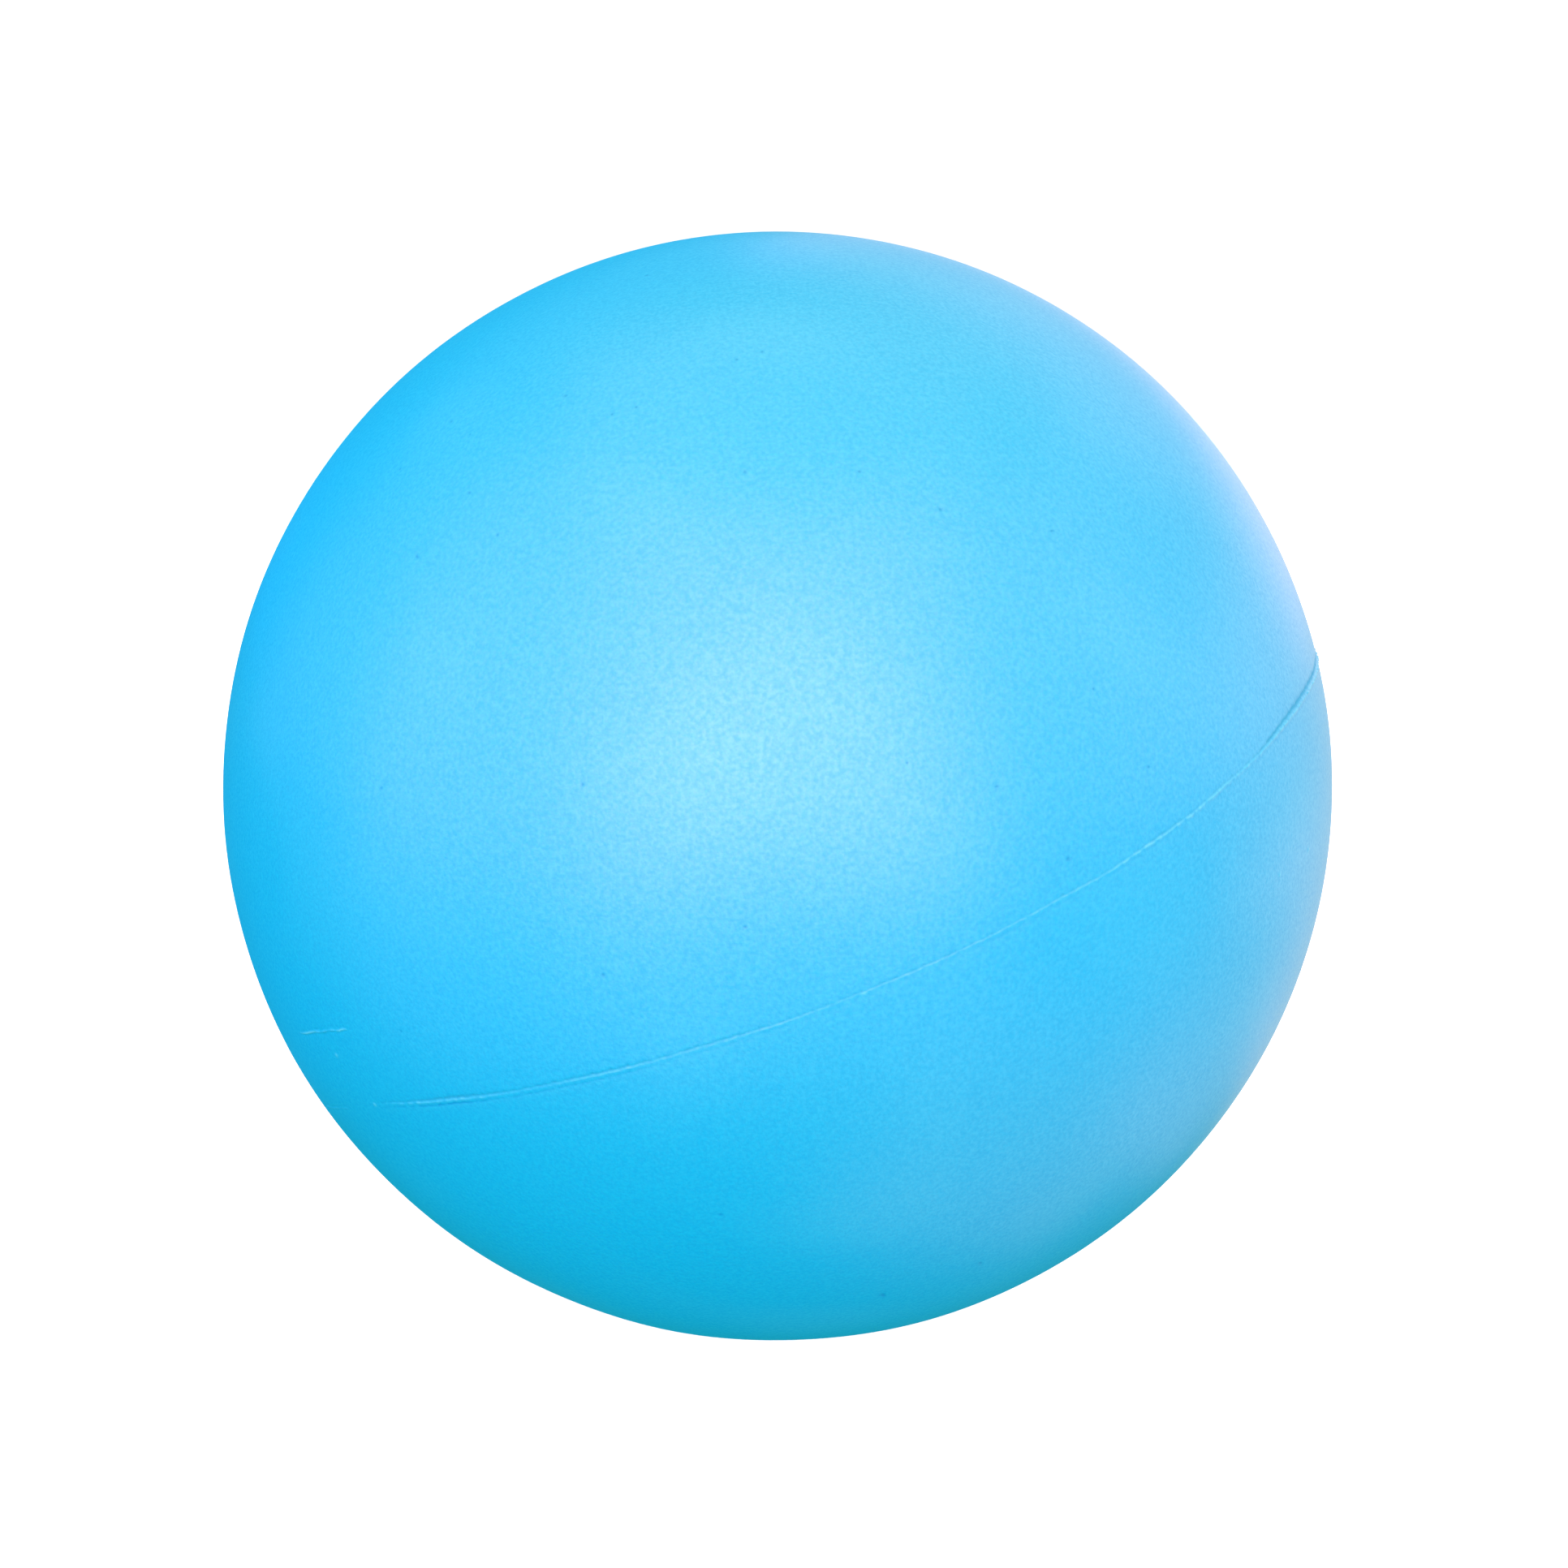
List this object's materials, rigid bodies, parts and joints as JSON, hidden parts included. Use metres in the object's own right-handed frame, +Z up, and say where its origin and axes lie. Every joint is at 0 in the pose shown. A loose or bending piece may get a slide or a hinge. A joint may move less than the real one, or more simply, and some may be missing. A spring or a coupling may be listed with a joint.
{
  "type": "lacrosse ball",
  "caption": "Solid moulded rubber ball for lacrosse, bright blue, with a fine parting line right round it.",
  "frame": {"origin": "centre of the ball", "axes": "+Z up as the ball lies; the parting plane passes through the origin and the Y axis and slopes up 21.4 degrees towards +X; +Y points away from the side seen in the picture"},
  "size_m": [0.0634, 0.0636, 0.0636],
  "materials": {
    "blue_rubber": "satin moulded rubber, coloured right through"
  },
  "bodies": {
    "root": {"rubber_ball": "blue_rubber"}
  },
  "joints": []
}
